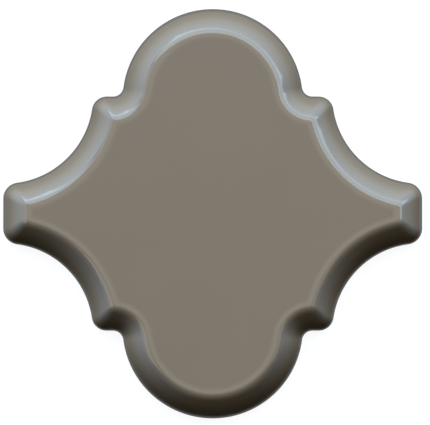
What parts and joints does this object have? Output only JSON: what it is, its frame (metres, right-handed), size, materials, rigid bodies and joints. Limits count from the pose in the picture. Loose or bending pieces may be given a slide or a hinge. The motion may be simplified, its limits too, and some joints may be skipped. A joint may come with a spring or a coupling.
{
  "type": "moroccan arabesque tile",
  "caption": "Lantern-shaped glazed ceramic wall tile with round lobes, hollow coves and flat tips, a flat face inside a wide cushion bevel, and a ribbed back for mortar.",
  "frame": {"origin": "centre of the back, on the plane that the ribs and the rim of the back lie in", "axes": "+Z out of the glazed face, +X through the middle of the right flat tip, +Y through the top of the upper lobe"},
  "size_m": [0.12, 0.1172, 0.0088],
  "materials": {
    "glaze": "gloss"
  },
  "bodies": {
    "root": {"arabesque_tile": "glaze"}
  },
  "joints": []
}
